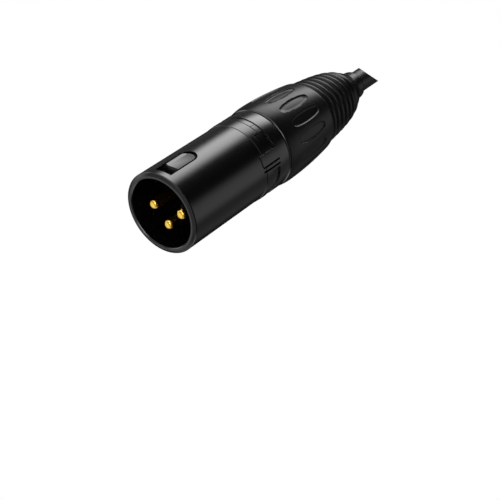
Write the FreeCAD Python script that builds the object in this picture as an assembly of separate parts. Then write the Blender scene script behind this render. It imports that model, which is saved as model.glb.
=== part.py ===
"""Three-pin round audio plug: die-cast shell, contact insert, cable clamp and screw-on boot.

Millimetres. +Z runs along the plug's axis, from the open mating rim at z = 0 up to the cut
end of the cable. The latch window and the key rib are on the -Y side.
"""
import FreeCAD, Part
import math
import os

os.makedirs("parts", exist_ok=True)

UP = FreeCAD.Vector(0, 0, 1)
KEY_SIDE = -90.0  # azimuth of the latch window, degrees from +X

# Running and assembly clearances
seat_gap = 0.05      # a piece pressed or laid in its seat
slide_gap = 0.08     # a piece that slides or turns on another
end_gap = 0.1        # end faces of pieces that move apart
seam_gap = 0.3       # the open joint between the shell and the boot

# Shell: barrel, cup and latch window
barrel_r = 9.5
barrel_wall = 1.4
cup_depth = 15.5
rim_chamfer = 0.3
window_front = 1.8   # width of the closed rim ahead of the window
window_width = 4.5
window_length = 10.2
window_floor = 0.5   # depth of the pocket at its middle
catch_length = 2.4   # the front of the window goes right through
key_rib_width = 3.4
key_rib_height = 0.8

# Shell: inner bore and rear collar
bore_wall = 1.0
rib_width = 1.6
rib_height = 0.9
rib_inset = 2.5      # how far the ribs reach into the insert
rib_setback = 0.5    # from the ribs' rear ends to the thread
collar_rise = 0.18
collar_length = 8.0
collar_bevel = 0.2
groove_back = 6.2    # from the groove's front edge to the shell's rear face
groove_width = 2.5
groove_depth = 0.3
groove_bevel = 0.12
pad_angle = 59.0     # from the latch window to the pad's near edge, degrees
pad_span = 15.0
pad_front = 9.2      # from the pad's front edge to the shell's rear face
pad_overlap = 0.3    # how far the pad runs on behind the groove
slot_angles = (74.5, 80.5)
slot_span = 2.4
slot_depth = 0.5

# Insert, the moulded contact carrier
insert_thickness = 6.5
fin_r = 5.9
fin_height = 5.4
fin_thickness = 0.8
fin_azimuths = (45.0, 135.0, 270.0)

# Contact pins with solder cups
pin_circle_r = 3.81
pin_r = 1.2
pin_recess = 1.8     # from the rim back to the pin's tip
pin_tip_round = 0.75
pin_seat_rise = 0.2  # the seated length and the solder cup are this much thicker
cup_bore_r = 0.85    # solder cup at the pin's rear end
cup_length = 3.4     # how far the solder cup stands out behind the insert
cup_bore_depth = 3.4
scoop_share_x = 0.4  # the solder cup is cut open from here outwards, as a share of its bore
scoop_share_z = 0.35  # and from this share of its depth
pins = {"pin_1": 180.0, "pin_2": 0.0, "pin_3": 90.0}

# Ground spring between pin 1 and the shell
spring_width = 2.4
spring_thickness = 0.3
spring_length = 4.0
spring_inset = 1.0   # from the spring's foot to the insert's rear face

# Cable: jacket, shield, two cores, drain wire and fillers
cable_r = 2.75
jacket_wall = 0.62
shield_wall = 0.16
core_r = 0.65
conductor_r = 0.3
core_offset = 0.7
filler_r = 0.5
filler_offset = 1.25
core_angle = -45.0   # azimuth of the hot core in the cable; the cold core is opposite
fan_out = 2.5        # from the insert's fins, and from the jacket's end, to the wires' bends
wire_reach = 0.3     # gap between a wire's end and the floor of its solder cup
strip_length = 2.0   # bare insulation ends this far behind the solder cup
jacket_setback = 1.4  # from the jaws to the end of the jacket
shield_bare = 0.3    # how far the shield stands out of the jacket
cable_cut_z = 81.75
cable_cut_tilt = 54.0
cable_cut_azimuth = 110.0

# Chuck: the sliding clamp that grips the cable
chuck_head_length = 5.9
chuck_neck_wall = 0.98
chuck_neck_setback = 4.1  # from the neck's end to the end of the nut's core
chuck_taper_length = 4.5
jaw_r = 4.6
jaw_length = 8.5
jaw_slits = 4
jaw_slit_width = 1.0
jaw_slit_length = 8.3
jaw_teeth = 2
jaw_tooth_depth = 0.25
jaw_tooth_length = 1.0
notch_gap = 0.2
clamp_sides = 32     # flat sides of the chuck and of the nut's bore, which keep their meshes light

# Gland nut: the threaded core of the boot
thread_length = 5.6
thread_height = 0.4  # room left for the thread between the nut and the shell
nut_core_gap = 0.1   # the core is this much smaller than the shell's bore
nut_core_wall = 0.82
nut_core_length = 20.0
nut_tail_wall = 1.1
nut_tail_length = 6.0

# Boot: soft sleeve moulded over the nut
boot_wall = 1.62     # at the grip's bulge
boot_sides = 48      # the boot is many-sided, inside and out, which keeps its mesh light
boot_mouth_drop = 0.32  # from the bulge in to the mouth
boot_mouth_bevel = 0.3
grip_bulge_z = 3.4   # from the boot's front face
grip_length = 18.9
grip_end_drop = 1.14
grip_steps = 4       # straight steps that make up the grip's curved taper
recess_count = 15
recess_front = 4.5   # from the boot's front face
recess_length = 11.0
recess_width = 2.9
recess_depth = 0.55
recess_flank = ((0.45, -0.32), (0.8, -0.1), (1.0, 0.15), (0.95, 0.36), (0.5, 0.48))
# The flank's points are shares of the half width and of the length, from the recess's middle
ring_count = 6
ring_pitch = 2.1
ring_gap = 0.55      # from a groove's bottom to the ring's crown, on either side
ring_first_drop = 1.55  # from the bulge in to the first and the last ring's crown
ring_last_drop = 3.15
ring_taper = 1.2     # above 1, the rings shrink faster towards the tail
ring_gap_depth = 0.9
tail_ring_drop = 3.77
tail_ring_length = 1.55
tail_cone_length = 4.2
tail_cone_flare = 1.35  # how far the cone's middle stands out from the collar
tail_collar_r = 3.65
tail_collar_length = 2.7
boot_cavity_length = 6.0

# Heights that follow from the stack of pieces
cup_r = barrel_r - barrel_wall
bore_r = barrel_r - bore_wall
nut_core_r = bore_r - nut_core_gap
insert_front = cup_depth
insert_rear = insert_front + insert_thickness
fin_rear = insert_rear + fin_height
chuck_front = insert_rear + end_gap
thread_front = insert_rear + chuck_head_length
shell_rear = thread_front + thread_length
collar_r = barrel_r + collar_rise
collar_front = shell_rear - collar_length
groove_front = shell_rear - groove_back
groove_rear = groove_front + groove_width
boot_front = shell_rear + seam_gap
grip_rear = boot_front + grip_length
rings_rear = grip_rear + ring_count * ring_pitch + ring_gap
tail_ring_rear = rings_rear + tail_ring_length
tail_cone_rear = tail_ring_rear + tail_cone_length
boot_rear = tail_cone_rear + tail_collar_length
grip_bulge_r = nut_core_r + seat_gap + boot_wall
boot_mouth_r = grip_bulge_r - boot_mouth_drop
grip_end_r = grip_bulge_r - grip_end_drop
tail_ring_r = grip_bulge_r - tail_ring_drop
pin_seat_r = pin_r + pin_seat_rise
cup_rear = insert_rear + cup_length
cup_floor = cup_rear - cup_bore_depth
scoop_x = scoop_share_x * cup_bore_r
scoop_front = cup_floor + scoop_share_z * cup_bore_depth
nut_front = thread_front + end_gap
core_rear = nut_front + nut_core_length
nut_rear = core_rear + nut_tail_length
neck_rear = core_rear - chuck_neck_setback
jaw_front = neck_rear + chuck_taper_length
jaw_rear = jaw_front + jaw_length
nut_bore_r = nut_core_r - nut_core_wall
chuck_neck_r = nut_bore_r - slide_gap
chuck_bore_r = chuck_neck_r - chuck_neck_wall
jacket_front = jaw_front - jacket_setback
shield_front = jacket_front - shield_bare
nut_jaw_r = jaw_r + slide_gap
nut_tail_r = nut_jaw_r + nut_tail_wall
cable_end = cable_cut_z + 2 * cable_r  # where the cable ends before its slanting cut


def polar(radius, azimuth, height=0.0):
    angle = math.radians(azimuth)
    return FreeCAD.Vector(radius * math.cos(angle), radius * math.sin(angle), height)


def turned(*outline):
    """Solid of revolution about the axis from closed (radius, height) points."""
    points = [FreeCAD.Vector(radius, 0, height) for radius, height in outline]
    face = Part.Face(Part.makePolygon(points + points[:1]))
    return face.revolve(FreeCAD.Vector(), UP, 360)


def many_sided(outline, sides):
    """Solid round the axis with flat sides, from (radius, height) points that rise from its base."""
    rings = [[polar(radius, 360 * side / sides, height) for side in range(sides + 1)]
             for radius, height in outline]
    faces = [Part.Face(Part.makePolygon(rings[0])), Part.Face(Part.makePolygon(rings[-1]))]
    for low, high in zip(rings, rings[1:]):
        for side in range(sides):
            corners = [low[side], low[side + 1], high[side + 1], high[side]]
            faces.append(Part.Face(Part.makePolygon(corners + corners[:1])))
    solid = Part.makeSolid(Part.makeShell(faces))
    return solid if solid.Volume > 0 else solid.reversed()


def tube(outer_r, inner_r, low, high):
    return turned((inner_r, low), (outer_r, low), (outer_r, high), (inner_r, high))


def rod(radius, low, high, azimuth=0.0, offset=0.0):
    return Part.makeCylinder(radius, high - low, polar(offset, azimuth, low))


def block(inner, outer, width, low, high, azimuth):
    """Box that runs out along a radius, from inner to outer."""
    solid = Part.makeBox(outer - inner, width, high - low, FreeCAD.Vector(inner, -width / 2, low))
    solid.rotate(FreeCAD.Vector(), UP, azimuth)
    return solid


def sector(inner_r, outer_r, low, high, start, span):
    """Part of a ring between two azimuths."""
    points = [(inner_r, low), (outer_r, low), (outer_r, high), (inner_r, high)]
    corners = [FreeCAD.Vector(radius, 0, height) for radius, height in points]
    solid = Part.Face(Part.makePolygon(corners + corners[:1])).revolve(FreeCAD.Vector(), UP, span)
    solid.rotate(FreeCAD.Vector(), UP, start)
    return solid


def wire_along(points, radius, sides=8):
    """Many-sided wire that follows the points, with a level section at each of them."""
    ring = [polar(radius, 360 * side / sides) for side in range(sides + 1)]
    sections = [Part.makePolygon([point + corner for corner in ring]) for point in points]
    return Part.makeLoft(sections, True, True)


def cut_obliquely(solid):
    """Takes off what lies past the slanting cut at the cable's end."""
    tilt = math.radians(cable_cut_tilt)
    normal = polar(-math.sin(tilt), cable_cut_azimuth, math.cos(tilt))
    beyond = Part.makeCylinder(8 * cable_r, 8 * cable_r, FreeCAD.Vector(0, 0, cable_cut_z), normal)
    return solid.cut(beyond)


def one_solid(shape):
    shape = shape.removeSplitter()
    return shape.Solids[0] if len(shape.Solids) == 1 else shape


def latch_window():
    """Round-ended pocket with a flat floor, open right through at the front."""
    half = window_width / 2
    low = window_front
    high = window_front + window_length
    front_left = FreeCAD.Vector(-half, 0, low)
    front_right = FreeCAD.Vector(half, 0, low)
    rear_right = FreeCAD.Vector(half, 0, high - half)
    rear_left = FreeCAD.Vector(-half, 0, high - half)
    outline = Part.Wire([
        Part.LineSegment(front_left, front_right).toShape(),
        Part.LineSegment(front_right, rear_right).toShape(),
        Part.Arc(rear_right, FreeCAD.Vector(0, 0, high), rear_left).toShape(),
        Part.LineSegment(rear_left, front_left).toShape(),
    ])
    pocket = Part.Face(outline).extrude(FreeCAD.Vector(0, -barrel_r, 0))
    pocket.translate(FreeCAD.Vector(0, window_floor - barrel_r, 0))
    catch_inner = cup_r - key_rib_height - end_gap
    catch = block(catch_inner, 2 * barrel_r, window_width, low, low + catch_length, KEY_SIDE)
    return pocket.fuse(catch)


def shell():
    """Black die-cast shell: barrel, cup, bore for the insert, collar and threaded mouth."""
    body = turned(
        (cup_r, 0),
        (barrel_r - rim_chamfer, 0),
        (barrel_r, rim_chamfer),
        (barrel_r, collar_front),
        (collar_r, collar_front + collar_bevel),
        (collar_r, groove_front),
        (collar_r - groove_depth, groove_front + groove_bevel),
        (collar_r - groove_depth, groove_rear - groove_bevel),
        (collar_r, groove_rear),
        (collar_r, shell_rear - collar_bevel),
        (collar_r - collar_bevel, shell_rear),
        (nut_core_r + thread_height, shell_rear),
        (nut_core_r + thread_height, thread_front),
        (bore_r, thread_front),
        (bore_r, insert_front),
        (cup_r, insert_front),
    )
    for side in (1, -1):
        start = KEY_SIDE + side * (pad_angle + pad_span / 2) - pad_span / 2
        pad = sector(collar_r - groove_depth - seat_gap, collar_r, shell_rear - pad_front,
                     groove_rear + pad_overlap, start, pad_span)
        body = body.fuse(pad)
        for slot_angle in slot_angles:
            start = KEY_SIDE + side * (slot_angle + slot_span / 2) - slot_span / 2
            body = body.cut(sector(collar_r - slot_depth, collar_r + slot_depth, shell_rear - pad_front,
                                   groove_rear + pad_overlap, start, slot_span))
    key_rib = block(cup_r - key_rib_height, cup_r + seat_gap, key_rib_width,
                    window_front + catch_length, insert_front, KEY_SIDE)
    body = body.fuse(key_rib)
    for azimuth in (KEY_SIDE, KEY_SIDE + 180):
        rib = block(bore_r - rib_height, bore_r + seat_gap, rib_width,
                    insert_rear - rib_inset, thread_front - rib_setback, azimuth)
        body = body.fuse(rib)
    return one_solid(body.cut(latch_window()))


def insert():
    """Moulded contact carrier: a thick disc with three bores and rear fins between them."""
    body = rod(bore_r - seat_gap, insert_front, insert_rear)
    for azimuth in fin_azimuths:
        body = body.fuse(block(0, fin_r, fin_thickness, insert_rear - fin_thickness, fin_rear, azimuth))
    for azimuth in pins.values():
        bore = rod(pin_seat_r + seat_gap, insert_front - seat_gap, insert_rear, azimuth, pin_circle_r)
        body = body.cut(bore)
    for azimuth in (KEY_SIDE, KEY_SIDE + 180):
        body = body.cut(block(bore_r - rib_height - slide_gap, barrel_r, rib_width + 2 * notch_gap,
                              insert_rear - rib_inset - slide_gap, insert_rear, azimuth))
    slot_width = spring_width + 2 * seat_gap
    foot_front = insert_rear - spring_inset - spring_thickness - seat_gap
    body = body.cut(block(pin_circle_r, barrel_r, slot_width, foot_front, insert_rear, pins["pin_1"]))
    body = body.cut(block(spring_wall_x() - spring_thickness - seat_gap, barrel_r, slot_width,
                          insert_rear - spring_inset - spring_length - seat_gap, insert_rear,
                          pins["pin_1"]))
    return one_solid(body)


def spring_wall_x():
    """Outer face of the spring's upright leg, just inside the shell's bore."""
    return math.sqrt((bore_r - seat_gap) ** 2 - (spring_width / 2) ** 2)


def ground_spring():
    """Bent strip that ties pin 1 to the shell."""
    top = insert_rear - spring_inset
    outer = spring_wall_x()
    inner = pin_circle_r + pin_seat_r + seat_gap
    foot = block(inner, outer, spring_width, top - spring_thickness, top, pins["pin_1"])
    leg = block(outer - spring_thickness, outer, spring_width, top - spring_length, top, pins["pin_1"])
    return one_solid(foot.fuse(leg))


def contact_pin(azimuth):
    """Turned contact: domed tip, thicker length seated in the insert, and an open solder cup."""
    shift = pin_tip_round * (1 - math.sqrt(0.5))
    body = turned(
        (0, pin_recess),
        (pin_r - pin_tip_round, pin_recess),
        (pin_r - shift, pin_recess + shift),
        (pin_r, pin_recess + pin_tip_round),
        (pin_r, insert_front),
        (pin_seat_r, insert_front),
        (pin_seat_r, cup_rear),
        (cup_bore_r, cup_rear),
        (cup_bore_r, cup_floor),
        (0, cup_floor),
    )
    scoop = Part.makeBox(2 * pin_seat_r, 2 * pin_seat_r, cup_length,
                         FreeCAD.Vector(scoop_x, -pin_seat_r, scoop_front))
    body = body.cut(scoop)
    body.rotate(FreeCAD.Vector(), UP, azimuth)
    body.translate(polar(pin_circle_r, azimuth))
    return one_solid(body)


def solder_fills():
    """Solder in the three cups, round the ends of the wires."""
    fills = []
    for azimuth in pins.values():
        middle = [polar(pin_circle_r, azimuth, height) for height in (cup_floor, cup_rear - slide_gap)]
        fill = wire_along(middle, cup_bore_r - seat_gap, 12)
        open_side = block(pin_circle_r + scoop_x, barrel_r, 3 * pin_seat_r, scoop_front, cup_rear, azimuth)
        wire_hole = wire_along(middle, conductor_r + seat_gap)
        fills.append(one_solid(fill.cut(open_side).cut(wire_hole)))
    return Part.makeCompound(fills)


def core_route(pin_azimuth, cable_radius, cable_azimuth, start, end):
    """From a solder cup straight back, then slanting in to a place in the cable."""
    bend_front = fin_rear + fan_out
    bend_rear = shield_front - fan_out
    return [polar(pin_circle_r, pin_azimuth, start), polar(pin_circle_r, pin_azimuth, bend_front),
            polar(cable_radius, cable_azimuth, bend_rear), polar(cable_radius, cable_azimuth, end)]


core_ends = {"hot": ("pin_2", core_angle), "cold": ("pin_3", core_angle + 180)}


def conductor(which):
    """Copper strand bundle of one core, from its solder cup to the cut end."""
    pin_name, azimuth = core_ends[which]
    route = core_route(pins[pin_name], core_offset, azimuth, cup_floor + wire_reach, cable_end)
    return one_solid(cut_obliquely(wire_along(route, conductor_r)))


def insulation(which):
    """Plastic skin of one core, stripped back a little behind the solder cup."""
    pin_name, azimuth = core_ends[which]
    route = core_route(pins[pin_name], core_offset, azimuth, cup_rear + strip_length, cable_end)
    skin = wire_along(route, core_r, 12)
    bore = wire_along(route, conductor_r + seat_gap)
    return one_solid(cut_obliquely(skin.cut(bore)))


def drain_route(start, end):
    shield_middle = cable_r - jacket_wall - seat_gap - shield_wall
    return core_route(pins["pin_1"], shield_middle, core_angle - 90, start, end)


def drain_wire():
    """Twisted shield strands led from the cable's shield to pin 1."""
    route = drain_route(cup_floor + wire_reach, shield_front - seat_gap)
    return one_solid(wire_along(route, conductor_r))


def drain_sleeve():
    """Shrink sleeve over the bare drain wire."""
    route = drain_route(cup_rear + strip_length, shield_front - strip_length / 2)
    skin = wire_along(route, core_r - seat_gap)
    bore = wire_along(route, conductor_r + seat_gap)
    return one_solid(skin.cut(bore))


def cable_jacket():
    """Black outer jacket of the cable stub, cut off slantwise."""
    return one_solid(cut_obliquely(tube(cable_r, cable_r - jacket_wall, jacket_front, cable_end)))


def cable_shield():
    """Spiral copper shield under the jacket."""
    outer = cable_r - jacket_wall - seat_gap
    return one_solid(cut_obliquely(tube(outer, outer - shield_wall, shield_front, cable_end)))


def cable_fillers():
    """Two cotton strings that round out the cable between its cores."""
    strings = []
    for azimuth in (core_angle + 90, core_angle - 90):
        ends = [polar(filler_offset, azimuth, jacket_front), polar(filler_offset, azimuth, cable_end)]
        strings.append(one_solid(cut_obliquely(wire_along(ends, filler_r))))
    return Part.makeCompound(strings)


def chuck():
    """Moulded clamp: keyed head against the insert, neck, and four sprung jaws."""
    grip_r = cable_r + seat_gap
    body = many_sided([
        (bore_r - slide_gap, chuck_front),
        (bore_r - slide_gap, thread_front - end_gap),
        (chuck_neck_r, thread_front - end_gap),
        (chuck_neck_r, neck_rear),
        (jaw_r, jaw_front),
        (jaw_r, jaw_rear),
    ], clamp_sides)
    hollow = [(chuck_bore_r, chuck_front - end_gap), (chuck_bore_r, neck_rear), (grip_r, jaw_front)]
    for gap in range(1, jaw_teeth + 1):
        gap_front = jaw_front + gap * jaw_length / (jaw_teeth + 1) - jaw_tooth_length / 2
        for depth, height in ((0, 0), (jaw_tooth_depth, 0), (jaw_tooth_depth, 1), (0, 1)):
            hollow.append((grip_r + depth, gap_front + height * jaw_tooth_length))
    hollow.append((grip_r, jaw_rear + end_gap))
    body = body.cut(many_sided(hollow, clamp_sides))
    for azimuth in (KEY_SIDE, KEY_SIDE + 180):
        body = body.cut(block(chuck_bore_r - rib_height, barrel_r, rib_width + 2 * notch_gap,
                              chuck_front - end_gap, thread_front - 2 * end_gap, azimuth))
    for slit in range(jaw_slits):
        azimuth = core_angle + slit * 360 / jaw_slits
        body = body.cut(block(0, chuck_neck_r + end_gap, jaw_slit_width,
                              jaw_rear - jaw_slit_length, jaw_rear + end_gap, azimuth))
    return one_solid(body)


def gland_nut():
    """Hard threaded core of the boot; its inner cone closes the jaws on the cable."""
    body = rod(nut_core_r, nut_front, core_rear).fuse(rod(nut_tail_r, nut_front, nut_rear))
    hollow = many_sided([
        (nut_bore_r, nut_front - end_gap),
        (nut_bore_r, neck_rear + end_gap),
        (nut_jaw_r, jaw_front + end_gap),
        (nut_jaw_r, nut_rear + end_gap),
    ], clamp_sides)
    return one_solid(body.cut(hollow))


def ring_r(index):
    """Crown radius of a bellows ring; they shrink faster towards the tail."""
    share = (index / (ring_count - 1)) ** ring_taper
    return grip_bulge_r - ring_first_drop - (ring_last_drop - ring_first_drop) * share


def grip_r(height):
    """Radius of the grip's skin: arcs on both sides of the level top of its bulge."""
    top_z = boot_front + grip_bulge_z
    if height < top_z:
        end_r, end_z = boot_mouth_r, boot_front + boot_mouth_bevel
    else:
        end_r, end_z = grip_end_r, grip_rear
    drop = grip_bulge_r - end_r
    arc_r = (drop ** 2 + (end_z - top_z) ** 2) / (2 * drop)
    return grip_bulge_r - arc_r + math.sqrt(arc_r ** 2 - (height - top_z) ** 2)


def boot_skin():
    """Outer profile of the boot, from its mouth to its tail."""
    top_z = boot_front + grip_bulge_z
    taper_step = (grip_rear - top_z) / grip_steps
    outer = [(boot_mouth_r - boot_mouth_bevel, boot_front), (boot_mouth_r, boot_front + boot_mouth_bevel)]
    for step in range(grip_steps + 1):
        outer.append((grip_r(top_z + step * taper_step), top_z + step * taper_step))
    for index in range(ring_count):
        gap_front = grip_rear + index * ring_pitch
        crown = ring_r(index)
        outer.append((crown - ring_gap_depth, gap_front))
        outer.append((crown, gap_front + ring_gap))
        outer.append((crown, gap_front + ring_pitch - ring_gap))
    outer += [
        (tail_ring_r - ring_gap_depth / 2, rings_rear - ring_gap),
        (tail_ring_r, rings_rear),
        (tail_ring_r, tail_ring_rear),
        (tail_collar_r + tail_cone_flare, tail_ring_rear + tail_cone_length / 2),
        (tail_collar_r, tail_cone_rear),
        (tail_collar_r, boot_rear),
    ]
    return outer


def boot_hollow():
    """Inside of the boot: seats for the nut's core and tail, a cavity, and the cable's hole."""
    cable_hole_r = cable_r + slide_gap
    cavity_rear = nut_rear + boot_cavity_length
    return many_sided([
        (nut_core_r + seat_gap, boot_front - end_gap),
        (nut_core_r + seat_gap, core_rear + seat_gap),
        (nut_tail_r + seat_gap, core_rear + seat_gap),
        (nut_tail_r + seat_gap, nut_rear + seat_gap),
        (nut_jaw_r, nut_rear + seat_gap),
        (nut_jaw_r, cavity_rear),
        (cable_hole_r, cavity_rear),
        (cable_hole_r, boot_rear + end_gap),
    ], boot_sides)


def recess_cutter():
    """One finger recess: drop-shaped, pointed towards the rim, with a floor along the grip."""
    half = recess_width / 2
    flank = [FreeCAD.Vector(0, share * half, place * recess_length) for share, place in recess_flank]
    other_flank = [FreeCAD.Vector(0, -point.y, point.z) for point in reversed(flank)]
    tip = FreeCAD.Vector(0, 0, -recess_length / 2)
    outline = Part.makePolygon([tip] + flank + other_flank + [tip])
    cutter = Part.Face(outline).extrude(FreeCAD.Vector(2 * recess_depth, 0, 0))
    front_z = boot_front + recess_front
    front_r = grip_r(front_z)
    rear_r = grip_r(front_z + recess_length)
    slope = math.degrees(math.atan((front_r - rear_r) / recess_length))
    cutter.rotate(FreeCAD.Vector(), FreeCAD.Vector(0, 1, 0), -slope)
    cutter.translate(FreeCAD.Vector((front_r + rear_r) / 2 - recess_depth, 0, front_z + recess_length / 2))
    return cutter


def boot_sleeve():
    """Soft boot: waisted grip with finger recesses, bellows rings and a tail round the cable."""
    body = many_sided(boot_skin(), boot_sides).cut(boot_hollow())
    cutter = recess_cutter()
    for index in range(recess_count):
        one = cutter.copy()
        one.rotate(FreeCAD.Vector(), UP, KEY_SIDE + index * 360 / recess_count)
        body = body.cut(one)
    return one_solid(body)


subparts = {
    "shell": shell(),
    "insert": insert(),
    "ground_spring": ground_spring(),
    "solder_fills": solder_fills(),
    "hot_conductor": conductor("hot"),
    "cold_conductor": conductor("cold"),
    "hot_insulation": insulation("hot"),
    "cold_insulation": insulation("cold"),
    "drain_wire": drain_wire(),
    "drain_sleeve": drain_sleeve(),
    "cable_jacket": cable_jacket(),
    "cable_shield": cable_shield(),
    "cable_fillers": cable_fillers(),
    "chuck": chuck(),
    "gland_nut": gland_nut(),
    "boot_sleeve": boot_sleeve(),
}
for name, azimuth in pins.items():
    subparts[name] = contact_pin(azimuth)
for name, shape in subparts.items():
    shape.exportStep("parts/" + name + ".step")
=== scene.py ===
"""Male audio cable plug, dressed for rendering: glossy barrel, gold contacts, ribbed rubber boot.

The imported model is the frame. Pieces are modelled in its millimetres and scaled to metres when
they are finished. The plug stands on its open rim, and the camera looks up at it from below.
"""
import math

import bmesh
import bpy
from mathutils import Matrix, Vector


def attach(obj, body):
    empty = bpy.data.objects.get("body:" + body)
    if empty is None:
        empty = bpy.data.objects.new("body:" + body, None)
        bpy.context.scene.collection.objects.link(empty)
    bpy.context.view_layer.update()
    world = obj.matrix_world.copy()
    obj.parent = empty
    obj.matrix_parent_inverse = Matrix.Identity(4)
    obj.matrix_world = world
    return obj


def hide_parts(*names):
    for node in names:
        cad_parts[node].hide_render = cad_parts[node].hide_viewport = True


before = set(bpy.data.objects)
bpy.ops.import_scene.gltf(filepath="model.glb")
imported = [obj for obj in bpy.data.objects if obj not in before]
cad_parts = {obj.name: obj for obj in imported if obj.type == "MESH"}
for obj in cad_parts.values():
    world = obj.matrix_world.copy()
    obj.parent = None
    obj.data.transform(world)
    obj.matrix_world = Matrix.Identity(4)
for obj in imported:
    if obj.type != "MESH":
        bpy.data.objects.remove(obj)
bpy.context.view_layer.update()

# Camera: low in front of the open cup and to the right of the latch window, looking up along
# the barrel, so that the plug runs from the lower left to the upper right of the picture.
camera_data = bpy.data.cameras.new("camera")
camera_data.sensor_width = 36.0
camera_data.lens = 85.95
camera_data.clip_start = 0.01
camera = bpy.data.objects.new("camera", camera_data)
camera.location = (0.14806, -0.13053, -0.15680)
camera.rotation_euler = [math.radians(angle) for angle in (145.155, -36.983, 2.709)]
bpy.context.scene.collection.objects.link(camera)
bpy.context.scene.camera = camera
bpy.context.scene.view_settings.view_transform = "Standard"


# Shell: die-cast zinc with a thick glossy black coating. A plain barrel with an open cup, a
# latch window in its side, and a collar with a shallow groove, two flush pads and short slots.
class Wire:
    """A node's output. Sums, differences and products of it add Math nodes beside it."""

    def __init__(self, nodes, socket):
        self.nodes = nodes
        self.socket = socket

    def combine(self, operation, first, second):
        return self.nodes.node("ShaderNodeMath", {"operation": operation}, {0: first, 1: second})

    def __add__(self, other):
        return self.combine("ADD", self, other)

    def __sub__(self, other):
        return self.combine("SUBTRACT", self, other)

    def __rsub__(self, other):
        return self.combine("SUBTRACT", other, self)

    def __mul__(self, other):
        return self.combine("MULTIPLY", self, other)

    __radd__ = __add__
    __rmul__ = __mul__


class Nodes:
    """The nodes of one material or of the world, all added in one way."""

    def __init__(self, tree):
        self.tree = tree

    def feed(self, node, sockets):
        for key, value in sockets.items():
            if isinstance(value, Wire):
                self.tree.links.new(value.socket, node.inputs[key])
            else:
                node.inputs[key].default_value = value

    def node(self, kind, settings, sockets, output=0):
        made = self.tree.nodes.new(kind)
        for key, value in settings.items():
            setattr(made, key, value)
        self.feed(made, sockets)
        return Wire(self, made.outputs[output])

    def part_of(self, vector, axis):
        """One of a vector's three numbers."""
        return self.node("ShaderNodeSeparateXYZ", {}, {"Vector": vector}, axis)


class Finish(Nodes):
    """One material, with the constants of its shader and the patterns that vary it."""

    def __init__(self, name, constants):
        self.material = bpy.data.materials.new(name)
        self.material.use_nodes = True
        super().__init__(self.material.node_tree)
        self.shader = self.tree.nodes["Principled BSDF"]
        self.vary(constants)

    def vary(self, sockets):
        self.feed(self.shader, sockets)

    def place(self):
        """Object coordinates, in metres."""
        return self.node("ShaderNodeTexCoord", {}, {}, "Object")

    def noise(self, scale, detail=2.0):
        """Cloudy pattern, with its scale in features per metre."""
        sockets = {"Vector": self.place(), "Scale": scale, "Detail": detail}
        return self.node("ShaderNodeTexNoise", {}, sockets, "Fac")

    def roughen(self, least, spread, scale):
        """Roughness that clouds a little above its least value."""
        self.vary({"Roughness": self.noise(scale) * spread + least})

    def shape(self, height, strength, depth, edge):
        """Bump of a pattern, this deep, over edges that look rounded, both in millimetres."""
        rounded = self.node("ShaderNodeBevel", {"samples": 6}, {"Radius": edge * 0.001})
        sockets = {"Strength": strength, "Distance": depth * 0.001, "Height": height,
                   "Normal": rounded}
        self.vary({"Normal": self.node("ShaderNodeBump", {}, sockets)})


def outline(bm, points):
    """Closed half profile in the XZ plane from (radius, height) in millimetres."""
    corners = [bm.verts.new((radius, 0, height)) for radius, height in points]
    edges = [bm.edges.new(pair) for pair in zip(corners, corners[1:] + corners[:1])]
    return corners + edges


def turned(points, segments=256):
    """Round piece from its half profile."""
    bm = bmesh.new()
    profile = outline(bm, points)
    bmesh.ops.spin(bm, geom=profile, cent=(0, 0, 0), axis=(0, 0, 1), dvec=(0, 0, 0),
                   angle=2 * math.pi, steps=segments, use_merge=True)
    bmesh.ops.remove_doubles(bm, verts=bm.verts[:], dist=0.0001)
    bmesh.ops.recalc_face_normals(bm, faces=bm.faces[:])
    return bm


def round_ring(bm, radius, height, size, segments=3):
    """Rounds the circular edge at this radius and height."""
    def on_ring(vert):
        return abs(vert.co.z - height) < 0.001 and abs(vert.co.xy.length - radius) < 0.001

    on_edge = [edge for edge in bm.edges if all(on_ring(vert) for vert in edge.verts)]
    bmesh.ops.bevel(bm, geom=on_edge, offset=size, offset_type="OFFSET", segments=segments,
                    profile=0.5, affect="EDGES", material=-1, clamp_overlap=True)


def block(reach, width, rise, azimuth=0.0):
    """Box between two radii and two heights, this wide, in the direction of the azimuth."""
    bm = bmesh.new()
    size = Matrix.Diagonal((reach[1] - reach[0], width, rise[1] - rise[0], 1))
    middle = Matrix.Translation((sum(reach) / 2, 0, sum(rise) / 2))
    turn = Matrix.Rotation(math.radians(azimuth), 4, "Z")
    bmesh.ops.create_cube(bm, size=1.0, matrix=turn @ middle @ size)
    return bm


def ring_piece(reach, rise, start, span):
    """Part of a ring between two radii and two heights, from one azimuth on."""
    bm = bmesh.new()
    corners = [(reach[0], rise[0]), (reach[1], rise[0]), (reach[1], rise[1]), (reach[0], rise[1])]
    face = bm.faces.new([bm.verts.new((radius, 0, height)) for radius, height in corners])
    bmesh.ops.rotate(bm, verts=bm.verts[:], cent=(0, 0, 0),
                     matrix=Matrix.Rotation(math.radians(start), 3, "Z"))
    bmesh.ops.spin(bm, geom=[face], cent=(0, 0, 0), axis=(0, 0, 1), dvec=(0, 0, 0),
                   angle=math.radians(span), steps=24)
    bmesh.ops.recalc_face_normals(bm, faces=bm.faces[:])
    return bm


def swept(corners, vec):
    """Solid from a flat outline, drawn along a vector in millimetres."""
    bm = bmesh.new()
    bm.faces.new([bm.verts.new(corner) for corner in corners])
    sides = bmesh.ops.extrude_face_region(bm, geom=bm.faces[:])
    drawn = [item for item in sides["geom"] if isinstance(item, bmesh.types.BMVert)]
    bmesh.ops.translate(bm, verts=drawn, vec=vec)
    bmesh.ops.recalc_face_normals(bm, faces=bm.faces[:])
    return bm


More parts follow.
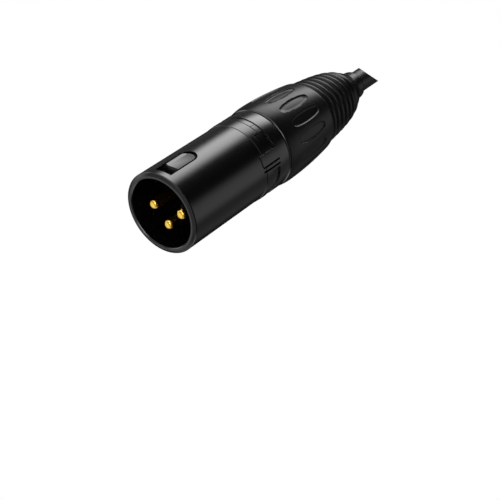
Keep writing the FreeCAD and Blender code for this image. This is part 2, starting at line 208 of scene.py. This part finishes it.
def as_object(bm, name):
    """Object in the scene from a finished mesh."""
    mesh = bpy.data.meshes.new(name)
    bm.to_mesh(mesh)
    bm.free()
    made = bpy.data.objects.new(name, mesh)
    bpy.context.scene.collection.objects.link(made)
    return made


def evaluated(source):
    """The object's mesh with its modifiers, or its curve's wall, made real."""
    depsgraph = bpy.context.evaluated_depsgraph_get()
    return bpy.data.meshes.new_from_object(source.evaluated_get(depsgraph))


def carve(piece, bm, operation="DIFFERENCE"):
    """Takes a solid off the piece, or adds it."""
    tool = as_object(bm, "tool")
    step = piece.modifiers.new("carve", "BOOLEAN")
    step.operation = operation
    step.solver = "EXACT"
    step.object = tool
    mesh = evaluated(piece)
    piece.modifiers.clear()
    piece.data = mesh
    bpy.data.objects.remove(tool)


def dress(piece, body, finish, slot, *nodes, crease=35.0):
    """Scales the piece to metres, gives it its finish, smooths it, ties it to its body and hides the
    CAD nodes that it stands for. The slot is not used.
    """
    piece.data.transform(Matrix.Scale(0.001, 4))
    piece.data.materials.clear()
    piece.data.materials.append(finish.material)
    piece.data.shade_smooth()
    piece.data.set_sharp_from_angle(angle=math.radians(crease))
    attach(piece, body)
    if nodes:
        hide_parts(*nodes)


window_side = -90.0
barrel_r = 9.5
cup_r = 8.1
bore_r = 8.5
mouth_r = 8.8
collar_r = 9.68
cup_depth = 15.5
bore_end = 27.9
shell_length = 33.5
rim = [(cup_r, 0.2), (8.3, 0), (8.72, 0), (9.38, 0.34), (barrel_r, 0.54)]
collar = [(barrel_r, 25.1), (9.61, 25.22), (collar_r, 26.4), (collar_r, shell_length)]
bore = [(mouth_r, shell_length), (mouth_r, bore_end), (bore_r, bore_end), (bore_r, cup_depth),
        (cup_r, cup_depth)]
bm = turned(rim + collar + bore)
round_ring(bm, collar_r, shell_length, size=0.2, segments=4)
round_ring(bm, mouth_r, shell_length, size=0.15, segments=2)
shell = as_object(bm, "shell_casting")

# Collar's relief, alike on both sides of the window: a flush pad and two slots, cut by pieces
# that reach well outside. Then the steps of the shallow groove round it, and a tick in it.
outside_r = 10.2
relief_heights = (24.3, 30.1)
pad = (59.0, 15.3, (9.3, collar_r), "UNION")
slots = [(near_angle, 2.8, (9.0, outside_r), "DIFFERENCE") for near_angle in (74.3, 80.3)]
for side in (1, -1):
    for near_angle, span, reach, operation in [pad] + slots:
        start = window_side + side * (near_angle + span / 2) - span / 2
        carve(shell, ring_piece(reach, relief_heights, start, span), operation)
groove_rear = 29.85
for near_angle, span, floor_r, rise in ((-59.0, 90.0, barrel_r, (28.3, groove_rear)),
                                        (-59.0, 90.0, 9.15, (27.95, 28.35)),
                                        (31.0, 28.0, 9.3, (26.5, groove_rear)),
                                        (86.0, 188.0, 9.36, (27.3, groove_rear))):
    carve(shell, ring_piece((floor_r, outside_r), rise, window_side + near_angle, span))
carve(shell, block((9.36, 9.56), 0.22, (28.35, 29.75), window_side + 17.0), "UNION")

# Ribs cast inside the shell: the key rib in the cup, under the window, and two in the bore that
# keep the insert and the clamp from turning.
carve(shell, block((7.3, 8.15), 3.4, (4.2, cup_depth), window_side), "UNION")
for azimuth in (window_side, window_side + 180):
    carve(shell, block((7.6, 8.55), 1.6, (19.5, 27.4), azimuth), "UNION")

# Latch window: a sunk pocket, square in front and round behind, that holds a raised tongue with
# a sloping left edge. In front of the tongue a hole with a sloping rear wall opens into the cup.
window_front = 1.8
arch_middle = 9.75
pocket_half_width = 2.25
pocket_floor = 8.45
tongue_half_width = 1.7
tongue_foot = 8.4
tongue_height = 0.72
slope_start = -1.05
slope = 0.28


def arched(half_width, depth):
    """Outline at this depth from the axis: square in front, and round behind."""
    arc = [math.pi * step / 32 for step in range(33)]
    front = [(x, -depth, window_front) for x in (-half_width, half_width)]
    return front + [(half_width * math.cos(turn), -depth, arch_middle + half_width * math.sin(turn))
                    for turn in arc]


carve(shell, swept(arched(pocket_half_width, pocket_floor), (0, pocket_floor - outside_r, 0)))
tongue = swept(arched(tongue_half_width, tongue_foot), (0, -tongue_height, 0))
bmesh.ops.bisect_plane(tongue, geom=tongue.verts[:] + tongue.edges[:] + tongue.faces[:],
                       plane_co=(slope_start, 0, 0), plane_no=(1, 0, 0))
for vert in tongue.verts:
    if vert.co.y < -tongue_foot - tongue_height / 2:
        vert.co.y -= slope * max(0.0, slope_start - vert.co.x)
carve(shell, tongue, "UNION")
hole = ((7.0, window_front), (12.0, window_front), (12.0, 6.3), (7.0, 3.9))
hole = [(-pocket_half_width, -radius, height) for radius, height in hole]
carve(shell, swept(hole, (2 * pocket_half_width, 0, 0)))
coating = Finish("black_coating", {"Base Color": (0.0018, 0.0018, 0.002, 1), "IOR": 1.5})
coating.roughen(0.19, 0.05, 400.0)
coating.shape(coating.noise(900.0), strength=0.03, depth=0.1, edge=0.08)
dress(shell, "shell", coating, "black_coating", "shell", crease=25.0)

# Thread in the shell's mouth: a right-hand ridge cast with the shell, 1.5 mm to the turn.
# The nut's own ridge runs midway between its turns, here and at every step of unscrewing.
travel_per_radian = 0.2387
thread_pitch = travel_per_radian * 2 * math.pi
thread_start = 28.75


def ridge(root_r, crest_r, low, turns, steps=72):
    """Helical ridge with a flat crest, rooted a little inside the wall that it stands on."""
    bm = bmesh.new()
    root = root_r + math.copysign(0.1, root_r - crest_r)
    corners = [(root, low - 0.4), (crest_r, low - 0.06), (crest_r, low + 0.06), (root, low + 0.4)]
    face = bm.faces.new([bm.verts.new((radius, 0, height)) for radius, height in corners])
    bmesh.ops.spin(bm, geom=[face], cent=(0, 0, 0), axis=(0, 0, 1),
                   dvec=(0, 0, thread_pitch / steps), angle=2 * math.pi * turns,
                   steps=int(steps * turns))
    bmesh.ops.recalc_face_normals(bm, faces=bm.faces[:])
    return bm


mouth_thread = as_object(ridge(mouth_r, 8.5, thread_start, 2.5), "shell_thread")
dress(mouth_thread, "shell", coating, "black_coating")


# Insert: the black moulded carrier that the contacts stand in, and the tinned spring beside it.
# Their solids are right as they are, so they only get their finishes.
def finish_node(name, finish):
    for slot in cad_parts[name].material_slots:
        slot.material = finish.material


carrier = Finish("carrier_plastic", {"Base Color": (0.011, 0.011, 0.012, 1)})
carrier.roughen(0.42, 0.1, 1500.0)
carrier.shape(carrier.noise(4000.0), strength=0.1, depth=0.05, edge=0.1)
finish_node("insert", carrier)
tinned = Finish("tinned_spring", {"Base Color": (0.72, 0.7, 0.66, 1), "Metallic": 1.0})
tinned.roughen(0.25, 0.15, 2000.0)
finish_node("ground_spring", tinned)

# Contacts: turned brass pins with a polished gold plating. A flat tip with a rounded edge, a
# plain shank, a thicker length seated in the carrier, and an open solder cup at the rear.
contact_circle = 3.81
pin_r = 1.2
tip_start = 1.8
tip_round = 0.8
seat_r = 1.4
pin_end = 25.4
solder_cup_r = 0.85
solder_cup_floor = 22.0
gold = Finish("gold_plating", {"Base Color": (0.96, 0.61, 0.1, 1), "Metallic": 1.0})
gold.roughen(0.16, 0.1, 1200.0)
gold.shape(gold.noise(3000.0), strength=0.04, depth=0.05, edge=0.05)
tip = [(0.0, tip_start)]
for turn in range(0, 91, 10):
    tip.append((pin_r - tip_round + tip_round * math.sin(math.radians(turn)),
                tip_start + tip_round - tip_round * math.cos(math.radians(turn))))
seat = [(pin_r, cup_depth), (seat_r, cup_depth), (seat_r, pin_end)]
solder_cup = [(solder_cup_r, pin_end), (solder_cup_r, solder_cup_floor), (0.0, solder_cup_floor)]
for name, azimuth in (("pin_1", 180.0), ("pin_2", 0.0), ("pin_3", 90.0)):
    bm = turned(tip + seat + solder_cup, 64)
    round_ring(bm, seat_r, pin_end, size=0.08, segments=2)
    pin = as_object(bm, name + "_contact")
    carve(pin, block((0.34, 3.14), 3.2, (23.19, 26.19)))
    around = Matrix.Rotation(math.radians(azimuth), 4, "Z")
    pin.data.transform(around @ Matrix.Translation((contact_circle, 0, 0)))
    dress(pin, "shell", gold, "gold_plating", name)

# Boot: soft black rubber, moulded over the nut. A grip with a ring of finger recesses, then
# bellows that bend with the cable, and a short tail that holds it.
boot_start = 33.8
grip_full_r = 10.07
grip_full_height = 37.2
tail_end = 74.3


def grip_r(height):
    """Radius of the grip's skin: fullest a little behind its mouth."""
    drop, length = (0.32, 3.1) if height < grip_full_height else (1.14, 15.5)
    return grip_full_r - drop * ((height - grip_full_height) / length) ** 2


mouth = [(9.42, boot_start), (9.72, 34.1), (9.77, 34.3)]
grip = [(grip_r(34.5 + 0.4 * step), 34.5 + 0.4 * step) for step in range(45)]
heel = [(8.86, 52.55), (8.72, 52.75)]
first_ring = 54.15
ring_spacing = 2.1
rings = []
for index, crown_r in enumerate((8.46, 8.2, 7.96, 7.7, 7.36, 6.92)):
    middle = first_ring + ring_spacing * index
    rings.append((crown_r - 0.88, middle - ring_spacing / 2))
    for step in range(-9, 10):
        across = step / 10.5
        rings.append((crown_r - 0.82 * across ** 2, middle + across * ring_spacing / 2))
shoulder = [(5.95, 65.7), (6.12, 66.05), (6.24, 66.4), (6.24, 66.9), (6.14, 67.25), (5.92, 67.55)]
taper = [(5.5, 68.4), (5.12, 69.4), (4.6, 70.4), (4.02, 71.2), (3.72, 71.6), (3.62, 72.0)]
tail = [(3.6, 73.8), (3.52, 74.15), (3.36, tail_end)]
hollow = [(2.83, tail_end), (2.83, 60.0), (4.68, 60.0), (4.68, 54.05), (5.83, 54.05),
          (5.83, 48.05), (8.45, 48.05), (8.45, boot_start)]
skin = mouth + grip + heel + rings + shoulder + taper + tail
boot = as_object(turned(skin + hollow, 240), "boot_grip_and_bellows")

# Finger recesses: long ovals pressed 0.28 mm into the grip, with soft shoulders. Each is cut by
# a stack of ovals that follow the grip's curve, from above the skin down to the floor. A level
# has its height over the skin, how far it is drawn in, and the share of its size.
recess_count = 15
recess_middle = 43.4
recess_half_length = 5.35
recess_half_width = 1.34
width_radius = 9.8
levels = [(0.6, -0.08, 1.0), (0.04, 0.0, 1.0), (-0.05, 0.08, 1.0), (-0.22, 0.2, 1.0)]
levels += [(-0.28, 0.34, share) for share in (1.0, 0.7, 0.4, 0.1)]


def spread(value, power):
    """Moves a circle's coordinate outwards, so that the oval gets fuller."""
    return math.copysign(abs(value) ** power, value)


bm = bmesh.new()
for index in range(recess_count):
    middle_angle = math.radians(window_side + 360.0 / recess_count * index)
    loops = []
    for over_skin, inset, share in levels:
        ring = bmesh.ops.create_circle(bm, segments=56, radius=1.0)["verts"]
        for vert in ring:
            height = recess_middle + spread(vert.co.x, 0.92) * (recess_half_length - inset) * share
            sideways = spread(vert.co.y, 0.62) * (recess_half_width - inset) * share
            angle = middle_angle + sideways / width_radius
            radius = grip_r(height) + over_skin
            vert.co = (radius * math.cos(angle), radius * math.sin(angle), height)
        loops.append(ring)
    for first, second in zip(loops, loops[1:]):
        pair = set(first) | set(second)
        open_edges = [edge for edge in bm.edges
                      if set(edge.verts) <= pair and len(edge.link_faces) < 2]
        bmesh.ops.bridge_loops(bm, edges=open_edges)
    bmesh.ops.contextual_create(bm, geom=loops[0])
    bmesh.ops.contextual_create(bm, geom=loops[-1])
bmesh.ops.recalc_face_normals(bm, faces=bm.faces[:])
carve(boot, bm)
rubber = Finish("boot_rubber", {"Base Color": (0.0035, 0.0035, 0.0038, 1), "Specular IOR Level": 0.17})
rubber.roughen(0.26, 0.05, 700.0)
polished_end = 34.12
height = rubber.part_of(rubber.place(), "Z")
polished = rubber.node("ShaderNodeMath", {"operation": "LESS_THAN"},
                       {0: height, 1: polished_end * 0.001})
rubber.vary({"Coat Weight": polished})
rubber.shape(rubber.noise(3000.0), strength=0.04, depth=0.04, edge=0.1)
dress(boot, "boot", rubber, "boot_rubber", "boot_sleeve", crease=50.0)

# Gland nut: the hard threaded core inside the boot. It screws into the shell's mouth, and its
# inner cone closes the clamp's jaws on the cable.
nut_start = 28.0
nut_r = 8.4
neck_start = 48.0
nut_end = 54.0
outer_wall = [(nut_r, nut_start), (nut_r, neck_start), (5.78, neck_start), (5.78, nut_end)]
inner_cone = [(4.68, nut_end), (4.68, 48.5), (7.58, 44.0), (7.58, nut_start)]
bm = turned(outer_wall + inner_cone, 192)
round_ring(bm, nut_r, nut_start, size=0.3)
nut = as_object(bm, "gland_nut_core")
hard_plastic = Finish("nut_plastic", {"Base Color": (0.012, 0.012, 0.013, 1)})
hard_plastic.roughen(0.25, 0.1, 900.0)
dress(nut, "boot", hard_plastic, "nut_plastic", "gland_nut")
nut_thread = as_object(ridge(nut_r, 8.7, thread_start + thread_pitch / 2, 2.3), "gland_nut_thread")
dress(nut_thread, "boot", hard_plastic, "nut_plastic")

# Clamp: the moulded chuck between the nut and the cable. Notches in its head run on the shell's
# ribs, and its four slit jaws grip the cable. Its solid only gets its finish.
chuck_plastic = Finish("chuck_plastic", {"Base Color": (0.05, 0.05, 0.055, 1)})
chuck_plastic.roughen(0.4, 0.1, 900.0)
finish_node("chuck", chuck_plastic)

# Cable stub: black outer jacket with a spiral copper shield under it, round the cores and the
# strings. The photographed cable ends in one slanting cut.
cut_height = 81.75
cut_tilt = math.radians(54.0)
high_side = math.radians(110.0)
cut_normal = Vector((-math.sin(cut_tilt) * math.cos(high_side),
                     -math.sin(cut_tilt) * math.sin(high_side), math.cos(cut_tilt)))
uncut_end = 88.0


def cut_slanting(bm):
    """Cuts the piece off along the cable's slanting end and closes the cut."""
    cut = bmesh.ops.bisect_plane(bm, geom=bm.verts[:] + bm.edges[:] + bm.faces[:], dist=0.0001,
                                 plane_co=(0, 0, cut_height), plane_no=cut_normal,
                                 clear_outer=True)
    open_edges = [item for item in cut["geom_cut"] if isinstance(item, bmesh.types.BMEdge)]
    bmesh.ops.triangle_fill(bm, edges=open_edges, use_beauty=True, use_dissolve=True)
    bmesh.ops.recalc_face_normals(bm, faces=bm.faces[:])
    return bm


def tube(inner_r, outer_r, start):
    """Tube round the cable's axis, up to the slanting cut."""
    wall = [(inner_r, start), (outer_r, start), (outer_r, uncut_end), (inner_r, uncut_end)]
    return cut_slanting(turned(wall, 96))


jacket = as_object(tube(2.13, 2.75, 47.0), "cable_skin")
sheath = Finish("jacket", {"Base Color": (0.003, 0.003, 0.0033, 1), "Specular IOR Level": 0.25})
sheath.roughen(0.34, 0.08, 900.0)
sheath.shape(sheath.noise(2500.0), strength=0.05, depth=0.05, edge=0.08)
dress(jacket, "shell", sheath, "jacket", "cable_jacket")

copper = Finish("copper", {"Base Color": (0.8, 0.42, 0.26, 1), "Metallic": 1.0, "Roughness": 0.3})
wraps = copper.part_of(copper.place(), "Z") * 14000.0
copper.shape(copper.node("ShaderNodeMath", {"operation": "SINE"}, {0: wraps}),
             strength=0.5, depth=0.05, edge=0.03)
shield = as_object(tube(1.92, 2.08, 46.7), "shield_wrap")
dress(shield, "shell", copper, "copper", "cable_shield")

# Cores: two stranded conductors in red and white insulation, led from their solder cups into
# the cable. Each bundle of strands is one lobed section that twists along its route, and it
# stands a hair out of the cut.
core_place_r = 0.7
insulation_start = 27.4
strands_start = 22.4
strands_out = 0.02
points_per_lobe = 6


def lobed_section(name, radius, lobes):
    """Outline of a bundle of strands, as the section that a curve is drawn with."""
    section = bpy.data.curves.new(name, "CURVE")
    spline = section.splines.new("POLY")
    count = lobes * points_per_lobe
    spline.points.add(count - 1)
    for index, point in enumerate(spline.points):
        angle = 2 * math.pi * index / count
        reach = radius * (0.86 + 0.14 * abs(math.cos(angle * lobes / 2)))
        point.co = (reach * math.cos(angle), reach * math.sin(angle), 0, 1)
    spline.use_cyclic_u = True
    made = bpy.data.objects.new(name, section)
    bpy.context.scene.collection.objects.link(made)
    return made


def strand_path(name, points, radius, lobes=0, twist=0.0):
    """Round or twisted wire along a route in millimetres, as a mesh."""
    curve = bpy.data.curves.new(name, "CURVE")
    curve.dimensions = "3D"
    curve.resolution_u = 24
    spline = curve.splines.new("NURBS")
    spline.points.add(len(points) - 1)
    for index, (point, place) in enumerate(zip(spline.points, points)):
        point.co = (*place, 1)
        point.tilt = twist * index / (len(points) - 1)
    spline.order_u = 3
    spline.use_endpoint_u = True
    curve.use_fill_caps = True
    scaffold = []
    if lobes:
        scaffold.append(lobed_section(name + "_section", radius, lobes))
        curve.bevel_mode = "OBJECT"
        curve.bevel_object = scaffold[0]
    else:
        curve.bevel_depth = radius
        curve.bevel_resolution = 6
    path = bpy.data.objects.new(name + "_path", curve)
    bpy.context.scene.collection.objects.link(path)
    bm = bmesh.new()
    bm.from_mesh(evaluated(path))
    for helper in [path] + scaffold:
        bpy.data.objects.remove(helper)
    bmesh.ops.remove_doubles(bm, verts=bm.verts[:], dist=0.001)
    bmesh.ops.recalc_face_normals(bm, faces=bm.faces[:])
    return bm


def strands(name, points):
    """Seven bare strands of a conductor."""
    return strand_path(name, points, 0.3, lobes=7, twist=60.0)


def at(radius, azimuth, height):
    """Place this far from the plug's axis, in millimetres."""
    turn = math.radians(azimuth)
    return (radius * math.cos(turn), radius * math.sin(turn), height)


def core_route(pin_azimuth, reach, azimuth, start, end):
    """From a solder cup straight back, then slanting in to the core's place in the cable."""
    behind_pin = [at(contact_circle, pin_azimuth, height) for height in (start, 29.9, 30.5)]
    return behind_pin + [at(reach, azimuth, height) for height in (43.6, 44.4, end)]


for core, pin_azimuth, azimuth, colour, slot in (
        ("hot", 0.0, -45.0, (0.42, 0.02, 0.02, 1), "red_insulation"),
        ("cold", 90.0, 135.0, (0.7, 0.7, 0.68, 1), "white_insulation")):
    insulation = Finish(core + "_insulation", {"Base Color": colour})
    insulation.roughen(0.35, 0.1, 1500.0)
    route = core_route(pin_azimuth, core_place_r, azimuth, insulation_start, uncut_end)
    wire = cut_slanting(strand_path(core + "_skin", route, 0.63))
    dress(as_object(wire, core + "_skin"), "shell", insulation, slot, core + "_insulation")
    route = core_route(pin_azimuth, core_place_r, azimuth, strands_start, uncut_end)
    wire = cut_slanting(strands(core + "_strands", route))
    wire.transform(Matrix.Translation((0, 0, strands_out)))
    dress(as_object(wire, core + "_strands"), "shell", copper, "copper", core + "_conductor")

# Strings: two soft twisted cotton fillers that lie in the gaps beside the cores and make the
# cable round.
cotton = Finish("cotton", {"Base Color": (0.7, 0.67, 0.6, 1), "Roughness": 0.9})
cotton.shape(cotton.noise(6000.0, 4.0), strength=0.6, depth=0.1, edge=0.03)
strings = bmesh.new()
for azimuth in (45.0, -135.0):
    route = [at(1.25, azimuth, height) for height in (47.0, 60.0, 74.0, uncut_end)]
    string = strand_path("string", route, 0.48, lobes=3, twist=40.0)
    mesh = bpy.data.meshes.new("string")
    cut_slanting(string).to_mesh(mesh)
    strings.from_mesh(mesh)
dress(as_object(strings, "cotton_strings"), "shell", cotton, "cotton", "cable_fillers")

# Solder and the ground lead: twisted shield strands in a black shrink sleeve, soldered into
# the first contact's cup.
solder = Finish("solder", {"Base Color": (0.6, 0.61, 0.63, 1), "Metallic": 1.0})
solder.roughen(0.3, 0.2, 3000.0)
finish_node("solder_fills", solder)
ground = strands("ground_strands", core_route(180.0, 1.92, -135.0, strands_start, 46.6))
dress(as_object(ground, "ground_strands"), "shell", copper, "copper", "drain_wire")
sleeve_plastic = Finish("sleeve_plastic", {"Base Color": (0.012, 0.012, 0.012, 1), "Roughness": 0.5})
finish_node("drain_sleeve", sleeve_plastic)

# Floor: pale and seen only from above, so that the camera below looks through it. It takes
# the plug's shadow and holds back no light.
bm = bmesh.new()
bmesh.ops.create_circle(bm, cap_ends=True, segments=96, radius=4.0)
bmesh.ops.translate(bm, verts=bm.verts[:], vec=(0, 0, -0.0002))
floor = as_object(bm, "floor")
paper = Finish("floor_paper", {"Base Color": (0.97, 0.97, 0.97, 1), "Roughness": 0.9,
                               "Specular IOR Level": 0.0})
camera_ray = paper.node("ShaderNodeLightPath", {}, {}, "Is Camera Ray")
from_below = paper.node("ShaderNodeNewGeometry", {}, {}, "Backfacing")
clear = paper.node("ShaderNodeBsdfTransparent", {}, {})
face = paper.node("ShaderNodeMixShader", {}, {0: camera_ray * (1.0 - from_below), 1: clear,
                                              2: Wire(paper, paper.shader.outputs[0])})
paper.feed(paper.tree.nodes["Material Output"], {"Surface": face})
floor.data.materials.append(paper.material)

# World: even white light from all round, and plain white where the camera, a reflection or a
# clear material looks into it.
diffuse_strength = 0.8
world = bpy.data.worlds.new("studio")
bpy.context.scene.world = world
world.use_nodes = True
studio = Nodes(world.node_tree)
white_seen = studio.node("ShaderNodeLightPath", {}, {}, "Is Camera Ray")
for ray in ("Is Glossy Ray", "Is Transmission Ray"):
    other = studio.node("ShaderNodeLightPath", {}, {}, ray)
    white_seen = studio.node("ShaderNodeMath", {"operation": "MAXIMUM"}, {0: white_seen, 1: other})
studio.feed(world.node_tree.nodes["Background"],
            {"Color": (1, 1, 1, 1),
             "Strength": white_seen * (1.0 - diffuse_strength) + diffuse_strength})

# Studio tent: dark cloth round the plug with tall glowing strips in it, which only shows in
# reflections. A glossy black product gets its highlights and its blacks from such a tent.
bm = bmesh.new()
bmesh.ops.create_uvsphere(bm, u_segments=64, v_segments=32, radius=0.8)
bmesh.ops.translate(bm, verts=bm.verts[:], vec=(0, 0, 0.03))
tent = as_object(bm, "studio_tent")
cloth = Finish("tent_cloth", {"Base Color": (0, 0, 0, 1), "Roughness": 1.0,
                              "Specular IOR Level": 0.0, "Emission Strength": 1.0})
away = cloth.node("ShaderNodeVectorMath", {"operation": "NORMALIZE"}, {0: cloth.place()})
lift = cloth.node("ShaderNodeMath", {"operation": "ARCSINE"}, {0: cloth.part_of(away, "Z")})
lift = lift * (180 / math.pi)


def step_up(value, low, high):
    sockets = {"Value": value, "From Min": low, "From Max": high}
    return cloth.node("ShaderNodeMapRange", {"interpolation_type": "SMOOTHSTEP"}, sockets)


def between(value, low, high, soft):
    """One inside the two limits, fading out over the soft width on both sides of each."""
    below_top = 1.0 - step_up(value, high - soft, high + soft)
    return step_up(value, low - soft, low + soft) * below_top


def strip(middle, half_width, low, high, soft, soft_end):
    """One softbox between two elevations, its middle at this angle from the window."""
    turn = (0, 0, -math.radians(window_side + middle))
    ahead = cloth.node("ShaderNodeMapping", {}, {"Vector": away, "Rotation": turn})
    sideways = cloth.node("ShaderNodeMath", {"operation": "ARCTAN2"},
                          {0: cloth.part_of(ahead, "Y"), 1: cloth.part_of(ahead, "X")})
    aside = sideways * (180 / math.pi)
    return between(aside, -half_width, half_width, soft) * between(lift, low, high, soft_end)


# Softboxes, seen from the photograph's side: the first four show along the barrel and the grip,
# the next four in the front flanks of rings and recesses, the ninth in the rim's face and the
# contacts' tips, and the last in the boot's mouth. The dark cloth glows faintly, more from below.
glow_from_below = 0.5
cloth_glow = 0.012
glow = (1.0 - step_up(lift, -52.0, -30.0)) * glow_from_below + cloth_glow
for strength, middle, half_width, low, high, soft, soft_end in (
        (6.0, -22.5, 21.0, 8.0, 76.0, 14.0, 10.0),
        (0.7, 98.0, 22.0, 5.0, 70.0, 14.0, 14.0),
        (0.14, 150.0, 32.0, 5.0, 66.0, 15.0, 14.0),
        (0.1, -80.0, 24.0, -10.0, 66.0, 10.0, 14.0),
        (1.6, -22.5, 21.0, -38.0, 4.0, 14.0, 8.0),
        (2.0, -75.0, 18.0, -30.0, 6.0, 10.0, 8.0),
        (1.6, 165.0, 18.0, -30.0, 6.0, 10.0, 8.0),
        (1.2, 5.0, 22.0, -34.0, -4.0, 10.0, 8.0),
        (0.75, 228.0, 40.0, -60.0, -12.0, 10.0, 14.0),
        (6.0, 40.0, 26.0, -58.0, -46.0, 12.0, 5.0)):
    glow = glow + strip(middle, half_width, low, high, soft, soft_end) * strength
cloth.vary({"Emission Color": glow})
tent.data.materials.append(cloth.material)
tent.data.shade_smooth()
tent.visible_camera = False
tent.visible_diffuse = False
tent.visible_transmission = False
tent.visible_shadow = False

# Lamp: one broad soft light from the upper left, aimed at the plug's middle. It gives the plug
# its shadow on the floor and is kept out of the reflections.
lamp_data = bpy.data.lights.new("soft_lamp", "AREA")
lamp_data.shape = "DISK"
lamp_data.size = 0.35
lamp_data.energy = 2.0
lamp = bpy.data.objects.new("soft_lamp", lamp_data)
lamp.location = (-0.3, -0.35, 0.6)
plug_middle = Vector((0, 0, 0.04))
lamp.rotation_euler = (plug_middle - lamp.location).to_track_quat("-Z", "Y").to_euler()
lamp.visible_glossy = False
bpy.context.scene.collection.objects.link(lamp)
